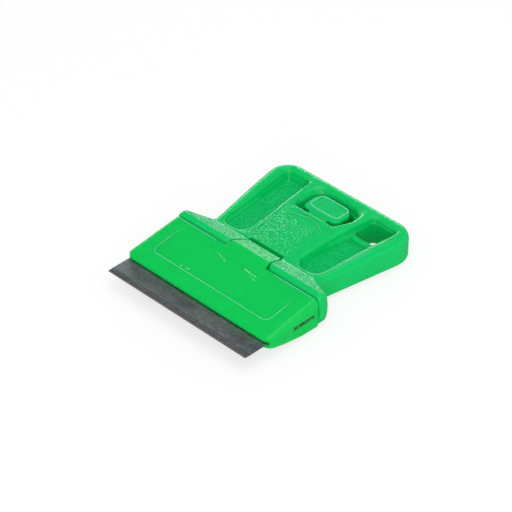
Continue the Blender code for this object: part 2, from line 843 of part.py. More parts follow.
def notch():
    """Notch of the cross bar for the tongue, down to the shelves under the tongue's edges."""
    front = TONGUE_FRONT_WIDTH / 2 + FIT_GAP
    rear = TONGUE_REAR_WIDTH / 2 + FIT_GAP
    half = [
        (front + OVERRUN / 2, BAR_FRONT - OVERRUN, 0),
        (front + TONGUE_FRONT_ROUND / 2, BAR_FRONT, TONGUE_FRONT_ROUND / 2),
        (front, BAR_FRONT + TONGUE_FRONT_ROUND, TONGUE_FRONT_ROUND / 2),
        (rear, TONGUE_BACK, 0),
        (rear, NOTCH_BACK, 0),
    ]
    low = TONGUE_UNDERSIDE - FIT_GAP
    return prism("notch", rounded(mirrored(half)), low, RIDGE_RISE + OVERRUN)


def tunnel():
    """Channel for the latch arm, from the front of the cross bar to the well."""
    front = BLADE_DEPTH - OVERRUN / 2
    rear = SLAB_CREASE_BACK + WELL_MIDDLE_LENGTH / 2
    profile = [
        (front, -TUNNEL_FLOOR_DROP),
        (rear, -TUNNEL_FLOOR_DROP),
        (rear, tunnel_roof(SLAB_CREASE_BACK)),
        (SLAB_CREASE_BACK, tunnel_roof(SLAB_CREASE_BACK)),
        (NOTCH_BACK, tunnel_roof(NOTCH_BACK)),
        (front, TONGUE_UNDERSIDE),
    ]
    return bar("tunnel", profile, TUNNEL_WIDTH)


def well_outline(flare):
    """Outline of the well, from its floor (flare 0) out to its mouth (flare 1)."""
    middle = SLAB_CREASE_BACK + WELL_MIDDLE_LENGTH
    floor = TUNNEL_WIDTH / 2 + TUNNEL_SIDE_GAP
    wide = floor + WELL_FLOOR_BOW + (WELL_MIDDLE_WIDTH / 2 - floor - WELL_FLOOR_BOW) * flare
    front = floor + (WELL_FRONT_WIDTH / 2 - floor) * flare
    rear = WELL_FLOOR_BACK + WELL_WALL_LEAN * flare
    half = [
        (front, SLAB_CREASE_BACK, 0),
        (wide, middle, WELL_SIDE_RADIUS),
        (wide - WELL_REAR_NARROWING * flare, rear, WELL_REAR_RADIUS),
    ]
    return rounded(mirrored(half))


def well():
    """Well round the press tab, with walls that curve out to a soft edge at the top."""
    rings = []
    for step in range(WELL_STEPS + 1):
        angle = math.pi / 2 * step / WELL_STEPS
        height = WELL_FLOOR_RISE + (RIM_RISE - WELL_FLOOR_RISE) * math.sin(angle)
        rings.append(plan(well_outline(1 - math.cos(angle)), rise(height)))
    rings.append(plan(well_outline(1), rise(RIM_RISE + OVERRUN)))
    return loft("well", rings)


def well_pit():
    """Pit in the well's floor that gives the tab its room, level with the channel."""
    outline = inset(well_outline(0), TUNNEL_SIDE_GAP + WALL_STEP)
    return prism("well_pit", outline, -TUNNEL_FLOOR_DROP - WALL_STEP, WELL_FLOOR_RISE + WALL_STEP)


def thumb_scoop():
    """Shallow tilted disc cut that leads the thumb to the tab."""
    count = 6 * ARC_STEPS
    rings = []
    centre = SCOOP_BACK - SCOOP_RADIUS
    deepest = slab_top(SCOOP_BACK) - SCOOP_DEPTH
    for lift in (0, OVERRUN):
        ring = []
        for i in range(count):
            angle = 2 * math.pi * i / count
            place = centre + SCOOP_RADIUS * math.sin(angle)
            height = deepest + (SCOOP_BACK - place) * math.tan(SCOOP_ANGLE)
            ring.append((SCOOP_RADIUS * math.cos(angle), back(place), rise(height + lift)))
        rings.append(ring)
    return loft("thumb_scoop", rings)


def make_handle(material):
    handle = grip_body(material)
    combine(handle, cross_bar(), "UNION")
    combine(handle, stop_rib(), "UNION")
    radius = TROUGH_CORNER_RADIUS
    whole = across(pocket_outline(TROUGH_FRONT, TROUGH_BACK, radius, radius))
    short_rear = CROSS_WALL_BACK - CROSS_WALL_THICKNESS + rim_lean()
    short = pocket_outline(TROUGH_FRONT, short_rear, radius, radius)
    cutters = [
        top_trough("left_top_trough", whole),
        under_trough("left_under_trough", whole),
        right_pocket(),
        top_trough("right_top_trough", inset(short, WALL_STEP)),
        under_trough("right_under_trough", short),
        ring_hole(),
        notch(),
        tunnel(),
        well(),
        well_pit(),
        thumb_scoop(),
    ]
    for cutter in cutters:
        combine(handle, cutter, "DIFFERENCE")
    return handle


def latch_profile():
    """Side view of the arm, its catch and the tab, as points (distance back, height)."""
    root_top = TONGUE_UNDERSIDE - FIT_GAP
    catch_front = SLAB_CREASE_BACK + FIT_GAP
    arm_rear_top = arm_top(SLAB_CREASE_BACK)
    return [
        (ARM_FRONT, root_top - ARM_THICKNESS),
        (TONGUE_BACK, root_top - ARM_THICKNESS),
        (SLAB_CREASE_BACK, arm_rear_top - ARM_THICKNESS),
        (TAB_BACK, arm_rear_top - ARM_THICKNESS),
        (TAB_BACK, TAB_REAR_RISE),
        (TAB_FRONT, TAB_FRONT_RISE),
        (catch_front + CATCH_LEAN, arm_rear_top + CATCH_HEIGHT),
        (catch_front, arm_rear_top),
        (NOTCH_BACK, arm_top(NOTCH_BACK)),
        (TONGUE_BACK, root_top),
        (ARM_FRONT, root_top),
    ]


def latch_outline():
    """The latch seen from above, with a neck before the tab and a bowed rear end."""
    side = ARM_WIDTH / 2
    neck = ARM_NECK_WIDTH / 2
    neck_front = SLAB_CREASE_BACK - ARM_NECK_LEAD
    shoulder = SLAB_CREASE_BACK + TAB_SHOULDER_LENGTH
    half = [
        (side, ARM_FRONT, 0),
        (side, neck_front, ARM_NECK_ROUND),
        (neck, neck_front, ARM_NECK_ROUND),
        (neck, shoulder, ARM_NECK_ROUND),
        (side, shoulder, TAB_SHOULDER_ROUND),
        (side, TAB_BACK - TAB_REAR_BOW, TAB_REAR_CORNER_RADIUS),
        (0, TAB_BACK, TAB_BOW_RADIUS),
    ]
    return rounded(half + mirrored(half)[-6:])


def tab_core():
    """Hollow in the underside of the tab, which keeps its walls even."""
    half = ARM_WIDTH / 2 - CORE_WALL
    front = TAB_FRONT + CORE_WALL
    rear = TAB_BACK - TAB_REAR_BOW - CORE_WALL
    outline = rounded(mirrored([(half, front, 0), (half, rear, 0)]))
    underside = arm_top(SLAB_CREASE_BACK) - ARM_THICKNESS
    return prism("tab_core", outline, underside - OVERRUN, underside + CORE_DEPTH)


def latch_sides():
    """Solid within the sides of the latch, drawn in along a round at the tab's top."""
    outline = latch_outline()
    high = TAB_REAR_RISE + TAB_SIDE_SPARE
    rings = [plan(outline, rise(-OVERRUN))]
    for step in range(ARC_STEPS + 1):
        angle = math.pi / 2 * step / ARC_STEPS
        ring = inset(outline, TAB_SIDE_ROUND * (1 - math.cos(angle)))
        rings.append(plan(ring, rise(high - TAB_SIDE_ROUND * (1 - math.sin(angle)))))
    return loft("latch_sides", rings)


def make_latch(material):
    latch = bar("press_latch", latch_profile(), ARM_WIDTH + OVERRUN, material)
    combine(latch, latch_sides(), "INTERSECT")
    round_edges(latch, TAB_EDGE_ROUND, math.radians(50))
    combine(latch, tab_core(), "DIFFERENCE")
    return latch


def put_origin(piece, place):
    """Move the piece's origin without moving its mesh in the world."""
    piece.data.transform(Matrix.Translation(-place))
    piece.location = place


def main():
    remove_old_objects()
    green = plastic("green moulded plastic", (0.0, 0.60, 0.11), 0.42)
    head_green = plastic("green head plastic", (0.0, 0.62, 0.12), 0.36)
    latch_green = plastic("green latch plastic", (0.0, 0.58, 0.11), 0.42)
    blade_steel = steel("ground carbon steel", (0.09, 0.10, 0.11), 0.38)
    spine_steel = steel("folded spine steel", (0.24, 0.15, 0.12), 0.42)

    handle = make_handle(green)
    head = make_head(head_green)
    latch = make_latch(latch_green)
    blade = make_blade(blade_steel)
    spine = make_spine(spine_steel)

    root_middle = TONGUE_UNDERSIDE - FIT_GAP - ARM_THICKNESS / 2
    pivot = Vector((0, back(ARM_PIVOT_BACK), rise(root_middle)))
    put_origin(latch, pivot)
    for piece in (handle, head, latch, spine):
        smooth(piece)
    for piece in (blade, spine):
        piece.parent = head
    head.parent = handle
    latch.parent = head


main()
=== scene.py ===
"""Looks of a pocket scraper for a single-edge blade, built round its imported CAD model.

The file is laid out as a Blender add-on and is run as a script. Each operator makes or
dresses a group of like pieces, or sets up the stage. Sizes are in metres in the frame of
the CAD model: +X across the width, +Y from the cutting edge to the rear, +Z up.
"""

import math

import bmesh
import bpy
import numpy as np
from mathutils import Matrix, Vector
from mathutils.bvhtree import BVHTree


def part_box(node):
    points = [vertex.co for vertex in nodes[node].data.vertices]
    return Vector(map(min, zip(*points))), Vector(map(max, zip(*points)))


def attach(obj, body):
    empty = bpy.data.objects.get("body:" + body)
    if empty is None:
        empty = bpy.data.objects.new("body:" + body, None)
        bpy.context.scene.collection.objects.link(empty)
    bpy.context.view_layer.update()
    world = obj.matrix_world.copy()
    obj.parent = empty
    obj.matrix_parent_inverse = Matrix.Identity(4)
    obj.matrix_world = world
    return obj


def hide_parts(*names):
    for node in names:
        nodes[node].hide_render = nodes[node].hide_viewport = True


bl_info = {
    "name": "Pocket blade scraper",
    "version": (1, 0, 0),
    "blender": (4, 5, 0),
    "location": "View3D > Sidebar > Scraper",
    "description": "Dresses the CAD model of a pocket blade scraper and lights it",
    "category": "Add Mesh",
}

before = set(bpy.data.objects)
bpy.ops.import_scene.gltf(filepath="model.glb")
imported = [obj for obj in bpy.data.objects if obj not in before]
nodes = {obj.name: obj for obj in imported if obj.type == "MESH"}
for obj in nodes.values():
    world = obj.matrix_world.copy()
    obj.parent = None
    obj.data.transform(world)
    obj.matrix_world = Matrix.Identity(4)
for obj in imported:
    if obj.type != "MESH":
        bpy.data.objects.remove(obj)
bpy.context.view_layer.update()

MM = 0.001

# Crisp arrises of the handle, each as the places in millimetres that its line passes. The raised
# line along each is painted paler, a painted highlight on the arris.
ARRISES = {
    "left_trough": (
        (-9.0, 22.6),
        (-8.2, 20.6),
        (-7.5, 15.6),
        (-6.85, 9.6),
        (-6.25, 4.1),
        (-6.55, 2.5),
        (-7.6, 1.3),
        (-9.3, 0.2),
        (-11.4, 0.2),
    ),
    "right_trough": (
        (7.2, 1.6),
        (8.4, 0.6),
        (10.0, 0.2),
        (12.2, 0.4),
        (13.6, 1.4),
        (14.2, 2.9),
        (15.45, 10.5),
        (16.35, 17.5),
        (16.55, 20.9),
        (16.1, 22.3),
    ),
    "scoop": ((-4.9, 11.2), (-3.0, 12.3), (-0.7, 13.1), (1.6, 13.0), (3.9, 11.8), (5.2, 10.7)),
    "well_front": ((-5.3, 13.72), (-4.0, 13.72), (-2.7, 13.72), (-1.6, 13.65)),
}

# Half width and height in millimetres of the raised lines.
ARRIS_SIZE = (0.10, 0.06)
PANEL_LINE_SIZE = (0.08, 0.055)
FLASH_SIZE = (0.10, 0.11)
TAB_LINE_SIZE = (0.17, 0.13)

# Pale pinkish strokes on the head's panel, each as start, end and half width in millimetres.
PALE_STROKES = (
    ((2.4, -8.3), (4.2, -8.6), 0.20),
    ((4.2, -8.6), (6.3, -8.6), 0.10),
    ((4.7, -9.3), (6.2, -9.5), 0.11),
    ((-5.6, -8.3), (-2.2, -9.2), 0.08),
    ((-8.9, -15.5), (-8.4, -15.5), 0.14),
    ((-7.5, -15.4), (-6.6, -15.2), 0.15),
)

# How the green finishes differ: their share of blue, the depth of the grain off the etched
# areas, and the radius in millimetres that their edges are shaded with.
FINISHES = {
    "handle": {"blue": 1.2, "rest": 0.18, "edge": 0.2},
    "head": {"blue": 0.85, "rest": 0.0, "edge": 0.2},
    "latch": {"blue": 1.2, "rest": 0.0, "edge": 0.2},
    "line": {"blue": 1.2, "rest": 0.0, "edge": 0.02},
}

# Depth of the etched grain on each surface, as a share of the pebble height. The slab's is
# greater at the left, and its rear left corner has a share of what its front has.
# The colour follows this depth too. The pits are painted darker and the pebble tops paler, a
# painted shade and highlight, strongest on the bar's rear slope.
SLOPE_GRAIN = 1.7
SLAB_GRAIN = 0.55
SLAB_LEFT_GRAIN = 0.8
CORNER_SHARE = 0.8
TROUGH_GRAIN = 0.9
TAB_GRAIN = 0.3

# Deepest grain that the painted shade in the pits and the painted highlight on the pebble tops
# still follow.
SHADE_LIMIT = 0.8

# Specular level of the plastic, and of the outer rim where handling has dulled it.
GLOSS = 0.3
RUBBED_GLOSS = 0.06

# Speckles in a millimetre of the ground steel, along each axis.
STEEL_SPECKLES = (1.3, 4.2, 1.0)

# Points of a CAD mesh that are nearer than the first are joined, and slivers that are
# thinner than the second are closed.
WELD = 0.0005 * MM
SLIVER = 0.025 * MM

# The camera's place, its focal length and the width of the photograph in pixels.
CAMERA_PLACE = Vector((280.73, -285.91, 311.09)) * MM
FOCAL_PIXELS = 2488.8
PHOTO_PIXELS = 512

# Area lamps, each as name, place, width, height, power and colour.
LAMPS = (
    ("key", (0.40, -0.42, 0.50), 0.35, 0.35, 0.95, (1, 1, 1)),
    ("fill", (0.46, -0.48, 0.24), 0.30, 0.30, 0.9, (1, 1, 1)),
    ("top", (0.05, 0.10, 0.70), 0.50, 0.50, 1.2, (1, 1, 1)),
    ("window", (-0.65, 0.65, 0.14), 0.70, 0.16, 2.0, (0.78, 1.0, 0.97)),
)

# Strength of the white room as light, and of its top in reflections.
ROOM_LIGHT = 0.62
ROOM_TOP = 0.08

# Share of plain white in what the camera sees of the paper. The rest is the lit paper with
# its shadow.
PAPER_GLOW = 0.72


def linear(code):
    """Linear colour of an sRGB hex value such as 00C85A."""
    channels = [int(code[i : i + 2], 16) / 255 for i in (0, 2, 4)]
    low = [c / 12.92 if c <= 0.04045 else ((c + 0.055) / 1.055) ** 2.4 for c in channels]
    return (*low, 1)


def fill(tree, node, inputs):
    """Fill inputs of a node, each found by its name or number.

    A socket is linked, a node is linked by its first output in use, and any other value is
    set.
    """
    for key, value in inputs.items():
        if isinstance(value, bpy.types.Node):
            value = next(socket for socket in value.outputs if socket.enabled)
        if isinstance(value, bpy.types.NodeSocket):
            tree.links.new(value, node.inputs[key])
        else:
            node.inputs[key].default_value = value


def add_node(tree, kind, inputs=None, **settings):
    """Add a node with its settings, and fill its inputs."""
    node = tree.nodes.new(kind)
    for name, value in settings.items():
        setattr(node, name, value)
    fill(tree, node, inputs or {})
    return node


class ScraperPlastic(bpy.types.PropertyGroup):
    """Colour and grain of the green mouldings."""

    green: bpy.props.FloatVectorProperty(
        name="Green",
        description="Colour of the moulded plastic",
        subtype="COLOR",
        size=4,
        default=linear("00CC60"),
    )
    grain: bpy.props.FloatProperty(
        name="Pebble size",
        description="Spacing of the pebbled grain on the slab and in the troughs",
        default=0.34 * MM,
        unit="LENGTH",
    )
    relief: bpy.props.FloatProperty(
        name="Pebble height",
        description="Height of the pebbled grain",
        default=0.07 * MM,
        unit="LENGTH",
    )


class ScraperBlade(bpy.types.PropertyGroup):
    """Honed facets of the blade."""

    hone: bpy.props.FloatProperty(
        name="Honed strip",
        description="Depth of the last honed facet, from the cutting edge",
        default=0.55 * MM,
        unit="LENGTH",
    )
    grind: bpy.props.FloatProperty(
        name="Ground strip",
        description="Depth of the ground facet, from the cutting edge",
        default=1.25 * MM,
        unit="LENGTH",
    )


class ScraperStage(bpy.types.PropertyGroup):
    """Camera and lamps."""

    azimuth: bpy.props.FloatProperty(
        name="Azimuth",
        description="Turn of the camera round the scraper",
        default=math.radians(44.76),
        unit="ROTATION",
    )
    elevation: bpy.props.FloatProperty(
        name="Elevation",
        description="Height angle of the camera",
        default=math.radians(37.49),
        unit="ROTATION",
    )


def surface_mesh(name, points, loop=False):
    """Mesh of a grid of points with shape (rows, columns, 3).

    The columns run round a closed section. The rows run round a loop too, or are capped.
    """
    rows, columns = points.shape[:2]
    index = np.arange(rows * columns).reshape(rows, columns)
    first, second = (index, np.roll(index, -1, axis=0)) if loop else (index[:-1], index[1:])
    turn = (first, np.roll(first, -1, axis=1), np.roll(second, -1, axis=1), second)
    faces = np.stack(turn, axis=-1).reshape(-1, 4).tolist()
    if not loop:
        faces += [index[0][::-1].tolist(), index[-1].tolist()]
    mesh = bpy.data.meshes.new(name)
    mesh.from_pydata(points.reshape(-1, 3).tolist(), [], faces)
    form = bmesh.new()
    form.from_mesh(mesh)
    bmesh.ops.recalc_face_normals(form, faces=form.faces)
    form.to_mesh(mesh)
    form.free()
    return mesh


def bead(path, size, scale=1.0, loop=False):
    """Grid of a half-buried bead: an ellipse carried along a nearly level path.

    Each section lies square to the path. The size is its half width and its height in
    millimetres, and the scale thins it.
    """
    if loop:
        along = np.roll(path, -1, axis=0) - np.roll(path, 1, axis=0)
    else:
        along = np.gradient(path, axis=0)
    side = np.stack((along[:, 1], -along[:, 0], np.zeros(len(path))), axis=1)
    side /= np.linalg.norm(side, axis=1)[:, None]
    turn = np.linspace(0, 2 * math.pi, 12, endpoint=False)
    across, rise = (np.broadcast_to(part * MM * scale, len(path)) for part in size)
    up = np.array((0.0, 0.0, 1.0))
    wide = np.cos(turn)[None, :, None] * side[:, None, :] * across[:, None, None]
    high = np.sin(turn)[None, :, None] * up * rise[:, None, None]
    return path[:, None, :] + wide + high


def tapered(count, share=0.08):
    """Scale of a bead's section that grows from nearly nothing and ends the same way."""
    place = np.linspace(0, 1, count)
    return np.clip(np.minimum(place, 1 - place) / share, 0.05, 1)


def add_piece(name, mesh, material, body, replaced=None, angle=32):
    """Link a finished piece, smooth it and tell the frame what it rides on."""
    piece = bpy.data.objects.new(name, mesh)
    bpy.context.scene.collection.objects.link(piece)
    mesh.materials.clear()
    mesh.materials.append(material)
    mesh.shade_smooth()
    mesh.set_sharp_from_angle(angle=math.radians(angle))
    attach(piece, body)
    if replaced:
        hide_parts(replaced)
    return piece


def welded_copy(name, node):
    """Copy of a CAD node's mesh with its loose triangles joined and its slivers closed."""
    form = bmesh.new()
    form.from_mesh(node.data)
    bmesh.ops.remove_doubles(form, verts=form.verts, dist=WELD)
    bmesh.ops.dissolve_degenerate(form, edges=form.edges, dist=SLIVER)
    mesh = bpy.data.meshes.new(name)
    form.to_mesh(mesh)
    form.free()
    return mesh


def all_of(tree, first, *others):
    """Mask of where all of several masks are: their product."""
    for other in others:
        first = add_node(tree, "ShaderNodeMath", {0: first, 1: other}, operation="MULTIPLY")
    return first


def either(tree, first, *others):
    """Mask of where any of several masks is: the largest of them."""
    for other in others:
        first = add_node(tree, "ShaderNodeMath", {0: first, 1: other}, operation="MAXIMUM")
    return first


def area(tree, *steps):
    """Mask of an area: the product of soft steps.

    Each step is a socket or node, the value at which it is 0 and the value at which it is 1.
    """
    smooth = {"interpolation_type": "SMOOTHSTEP"}
    return all_of(
        tree,
        *(
            add_node(tree, "ShaderNodeMapRange", {0: value, 1: none, 2: full}, **smooth)
            for value, none, full in steps
        ),
    )


def pale_stroke(tree, where, start, end, width):
    """Mask of a thin stroke between two places in millimetres, fading over its width."""
    start, end = Vector((*start, 0)) * MM, Vector((*end, 0)) * MM
    reach = (end - start).length
    along = (end - start) / reach
    square = (along.y, -along.x, 0)
    gone = add_node(
        tree, "ShaderNodeVectorMath", {0: where, 1: (start.x, start.y, 0)}, operation="SUBTRACT"
    )
    forth = add_node(tree, "ShaderNodeVectorMath", {0: gone, 1: along}, operation="DOT_PRODUCT")
    aside = add_node(tree, "ShaderNodeVectorMath", {0: gone, 1: square}, operation="DOT_PRODUCT")
    off = add_node(tree, "ShaderNodeMath", {0: aside}, operation="ABSOLUTE")
    soft = 0.08 * MM
    return area(
        tree,
        (off, width * MM, 0.2 * width * MM),
        (forth, -soft, soft),
        (forth, reach + soft, reach - soft),
    )


def pale_strokes(tree, where, upward):
    """Mask of all the panel's pale strokes, ragged and at half strength."""
    drawn = either(tree, *(pale_stroke(tree, where, *row) for row in PALE_STROKES))
    frayed = add_node(
        tree, "ShaderNodeTexNoise", {"Vector": where, "Scale": 1 / (0.35 * MM), "Detail": 2.0}
    )
    ragged = area(tree, (frayed.outputs["Fac"], 0.38, 0.60))
    return all_of(tree, drawn, ragged, upward, 0.5)


def handle_grain(tree, spot, upward):
    """Depth of the handle's grain, on the bar's slope, the slab and the trough floors.

    The rim, the rear of the slab and the scoop are nearly smooth. On the slab the grain
    fades to the rear and the right, and goes on further to the rear at the left.
    """
    x, y, z = spot
    side = add_node(tree, "ShaderNodeMath", {0: x}, operation="ABSOLUTE")
    slope = area(tree, (y, -4.2 * MM, -4.0 * MM), (y, -0.3 * MM, -0.5 * MM))
    slab = area(tree, (side, 8.4 * MM, 7.0 * MM), (y, -0.6 * MM, 0.2 * MM))
    front = area(tree, (y, 12.0 * MM, 9.6 * MM), (x, 7.0 * MM, 3.4 * MM))
    corner = area(tree, (y, 14.2 * MM, 13.2 * MM), (x, -3.0 * MM, -5.0 * MM))
    left = area(tree, (x, 1.0 * MM, -4.0 * MM))
    slab_grain = add_node(
        tree,
        "ShaderNodeMath",
        {0: left, 1: SLAB_LEFT_GRAIN - SLAB_GRAIN, 2: SLAB_GRAIN},
        operation="MULTIPLY_ADD",
    )
    trough = area(tree, (side, 7.6 * MM, 8.4 * MM), (z, 5.6 * MM, 5.0 * MM))
    reach = either(tree, front, all_of(tree, corner, CORNER_SHARE))
    return either(
        tree,
        all_of(tree, slope, SLOPE_GRAIN),
        all_of(tree, slab, reach, slab_grain),
        all_of(tree, trough, upward, TROUGH_GRAIN),
    )


def grain_depth(tree, kind, spot, upward):
    """Depth of the pebbled grain on one of the green finishes, as a share of its height."""
    if kind == "line":
        return 0.0
    y = spot["Y"]
    if kind == "handle":
        depth = handle_grain(tree, spot, upward)
    elif kind == "head":
        depth = area(tree, (y, -4.2 * MM, -4.0 * MM), (y, 2.1 * MM, 1.9 * MM))
    else:
        depth = all_of(tree, area(tree, (y, 14.0 * MM, 15.0 * MM)), TAB_GRAIN)
    return either(tree, all_of(tree, upward, depth), FINISHES[kind]["rest"])


def rim_gloss(tree, spot, facing):
    """Specular level of the handle, lower on the outside of the rim's rear and left side."""
    rear = area(tree, (facing["Y"], 0.15, 0.5), (spot["Y"], 20.5 * MM, 22.0 * MM))
    flank = area(tree, (facing["X"], -0.15, -0.5), (spot["X"], -11.5 * MM, -12.5 * MM))
    return add_node(
        tree,
        "ShaderNodeMath",
        {0: either(tree, rear, flank), 1: RUBBED_GLOSS - GLOSS, 2: GLOSS},
        operation="MULTIPLY_ADD",
    )


def pebbles(tree, where, spacing):
    """Height of the pebbles, from 0 between them to 1: a smooth cell pattern, a little warped."""
    warp = add_node(
        tree, "ShaderNodeTexNoise", {"Vector": where, "Scale": 1 / (2.5 * spacing), "Detail": 1.0}
    )
    moved = add_node(
        tree,
        "ShaderNodeVectorMath",
        {0: warp.outputs["Color"], 1: (0.9 * spacing,) * 3, 2: where},
        operation="MULTIPLY_ADD",
    )
    cells = add_node(
        tree,
        "ShaderNodeTexVoronoi",
        {"Vector": moved, "Scale": 1 / spacing, "Smoothness": 0.3, "Randomness": 1.0},
        feature="SMOOTH_F1",
    )
    return area(tree, (cells.outputs["Distance"], 0.62, 0.12))


def shaded(tree, colour, mask, share, tint):
    """Colour mixed towards a tint, given in hex, by a share of a mask."""
    part = add_node(
        tree, "ShaderNodeMath", {0: mask, 1: share}, operation="MULTIPLY", use_clamp=True
    )
    return add_node(
        tree, "ShaderNodeMix", {0: part, 6: colour, 7: linear(tint)}, data_type="RGBA"
    )


def clouded_green(tree, green, blue_share, cloud):
    """Green of the plastic with its share of blue, clouded from 0.90 to 1.06 of it."""
    red, green, blue = green[:3]
    blue *= blue_share
    dull = [part * 0.90 for part in (red, green, blue)]
    bright = [min(1, part * 1.06) for part in (red, green, blue)]
    return add_node(
        tree, "ShaderNodeMix", {0: cloud, 6: (*dull, 1), 7: (*bright, 1)}, data_type="RGBA"
    )


def moulded_plastic(name, settings, kind):
    """Polypropylene: satin green, with a pebbled grain where the mould was etched.

    The rest of the surface is smooth with a faint skin. Light sinks in a little, as it does
    in this waxy plastic. Sharp edges get the small radius that a mould gives them. The
    pebbles are drawn a little coarser than real ones, so that they show. Their pits are
    painted darker and their tops paler, a painted shade and highlight. Raised lines are
    painted paler all over, a painted highlight.
    """
    material = bpy.data.materials.new(name)
    material.use_nodes = True
    tree = material.node_tree
    place = add_node(tree, "ShaderNodeTexCoord").outputs
    where = place["Object"]
    spot = add_node(tree, "ShaderNodeSeparateXYZ", {0: where}).outputs
    facing = add_node(tree, "ShaderNodeSeparateXYZ", {0: place["Normal"]}).outputs
    upward = area(tree, (facing["Z"], 0.84, 0.93))
    depth = grain_depth(tree, kind, spot, upward)
    bulge = pebbles(tree, where, settings.grain)
    radius = FINISHES[kind]["edge"] * MM
    edge = add_node(tree, "ShaderNodeBevel", {"Radius": radius}, samples=8)
    fine = add_node(
        tree, "ShaderNodeTexNoise", {"Vector": where, "Scale": 1 / (1.4 * MM), "Detail": 3.0}
    )
    skin = add_node(
        tree,
        "ShaderNodeBump",
        {"Height": fine.outputs["Fac"], "Normal": edge, "Distance": 0.010 * MM, "Strength": 0.6},
    )
    height = all_of(tree, bulge, depth)
    grain = add_node(
        tree,
        "ShaderNodeBump",
        {"Height": height, "Normal": skin, "Distance": settings.relief, "Strength": 1.0},
    )
    colour = clouded_green(tree, settings.green, FINISHES[kind]["blue"], fine.outputs["Fac"])
    # Painted shade in the pits between the pebbles and painted highlight on their tops, as strong
    # as the grain is deep.
    shade = add_node(tree, "ShaderNodeMath", {0: depth, 1: SHADE_LIMIT}, operation="MINIMUM")
    hollow = add_node(tree, "ShaderNodeMath", {0: 1.0, 1: bulge}, operation="SUBTRACT")
    colour = shaded(tree, colour, all_of(tree, hollow, shade), 0.5, "00A552")
    colour = shaded(tree, colour, all_of(tree, bulge, shade), 0.45, "28F0A8")
    # Raised lines are painted paler all over: a painted highlight along them.
    if kind == "line":
        colour = shaded(tree, colour, 1.0, 0.6, "80FFC0")
    if kind == "head":
        # A few pale pinkish strokes on the head's panel.
        colour = shaded(tree, colour, pale_strokes(tree, where, upward), 1.0, "F0D4D8")
    looks = {
        "Base Color": colour,
        "Normal": grain,
        "Roughness": 0.25,
        "IOR": 1.49,
        "Specular IOR Level": rim_gloss(tree, spot, facing) if kind == "handle" else GLOSS,
        "Subsurface Weight": 0.5,
        "Subsurface Radius": (0.2, 1.0, 0.35),
        "Subsurface Scale": 1.8 * MM,
    }
    fill(tree, tree.nodes["Principled BSDF"], looks)
    return material


def blade_steel(blade):
    """Carbon steel strip, fine-ground all over and dark from the hardening oil.

    Two honed facets run along the cutting edge, and the last one is a little brown. Dark
    lines mark the edge, the rear of each facet and a step in the ground one. The speckle of
    the grinding is drawn coarser than the real one, so that it shows.
    """
    material = bpy.data.materials.new("ground carbon steel")
    material.use_nodes = True
    tree = material.node_tree
    where = add_node(tree, "ShaderNodeTexCoord").outputs["Object"]
    y = add_node(tree, "ShaderNodeSeparateXYZ", {0: where}).outputs["Y"]
    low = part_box("blade")[0]
    depth = add_node(tree, "ShaderNodeMath", {0: y, 1: low[1]}, operation="SUBTRACT")
    scale = [count / MM for count in STEEL_SPECKLES]
    stretched = add_node(tree, "ShaderNodeMapping", {"Vector": where, "Scale": scale})
    speckle = add_node(
        tree, "ShaderNodeTexNoise", {"Vector": stretched, "Scale": 1.0, "Detail": 4.0}
    ).outputs["Fac"]
    cloud = add_node(
        tree, "ShaderNodeTexNoise", {"Vector": where, "Scale": 1 / (4 * MM), "Detail": 3.0}
    ).outputs["Fac"]
    faint = add_node(
        tree, "ShaderNodeMath", {0: cloud, 1: 0.35, 2: 0.325}, operation="MULTIPLY_ADD"
    )
    both = add_node(tree, "ShaderNodeMath", {0: speckle, 1: faint}, operation="ADD")
    colour = shaded(tree, linear("84898E"), area(tree, (both, 0.7, 1.3)), 1.0, "B4B9BC")
    honed = add_node(tree, "ShaderNodeMath", {0: depth, 1: blade.hone}, operation="LESS_THAN")
    colour = shaded(tree, colour, honed, 1.0, "B5A9A4")
    lines = ((0.0, 0.16), (blade.hone, 0.16), (0.7 * blade.grind, 0.07), (blade.grind, 0.14))
    for at, width in lines:
        past = add_node(tree, "ShaderNodeMath", {0: depth, 1: at}, operation="SUBTRACT")
        away = add_node(tree, "ShaderNodeMath", {0: past}, operation="ABSOLUTE")
        line = area(tree, (away, width * MM, 0.2 * width * MM))
        colour = shaded(tree, colour, line, 0.75, "25282C")
    scratch = add_node(
        tree, "ShaderNodeBump", {"Height": speckle, "Distance": 0.02 * MM, "Strength": 0.8}
    )
    rough = add_node(tree, "ShaderNodeMapRange", {0: cloud, 1: 0.3, 2: 0.7, 3: 0.44, 4: 0.56})
    looks = {"Metallic": 1, "Base Color": colour, "Roughness": rough, "Normal": scratch}
    fill(tree, tree.nodes["Principled BSDF"], looks)
    return material


def spine_steel():
    """Steel strip with a brown lacquer, pale pink in random streaks."""
    material = bpy.data.materials.new("brown lacquered steel")
    material.use_nodes = True
    tree = material.node_tree
    where = add_node(tree, "ShaderNodeTexCoord").outputs["Object"]
    streak = add_node(
        tree, "ShaderNodeTexNoise", {"Vector": where, "Scale": 1 / (0.8 * MM), "Detail": 3.0}
    )
    pale_streaks = area(tree, (streak.outputs["Fac"], 0.45, 0.62))
    colour = shaded(tree, linear("A88478"), pale_streaks, 1.0, "F4E4DE")
    looks = {"Metallic": 1, "Base Color": colour, "Roughness": 0.45}
    fill(tree, tree.nodes["Principled BSDF"], looks)
    return material


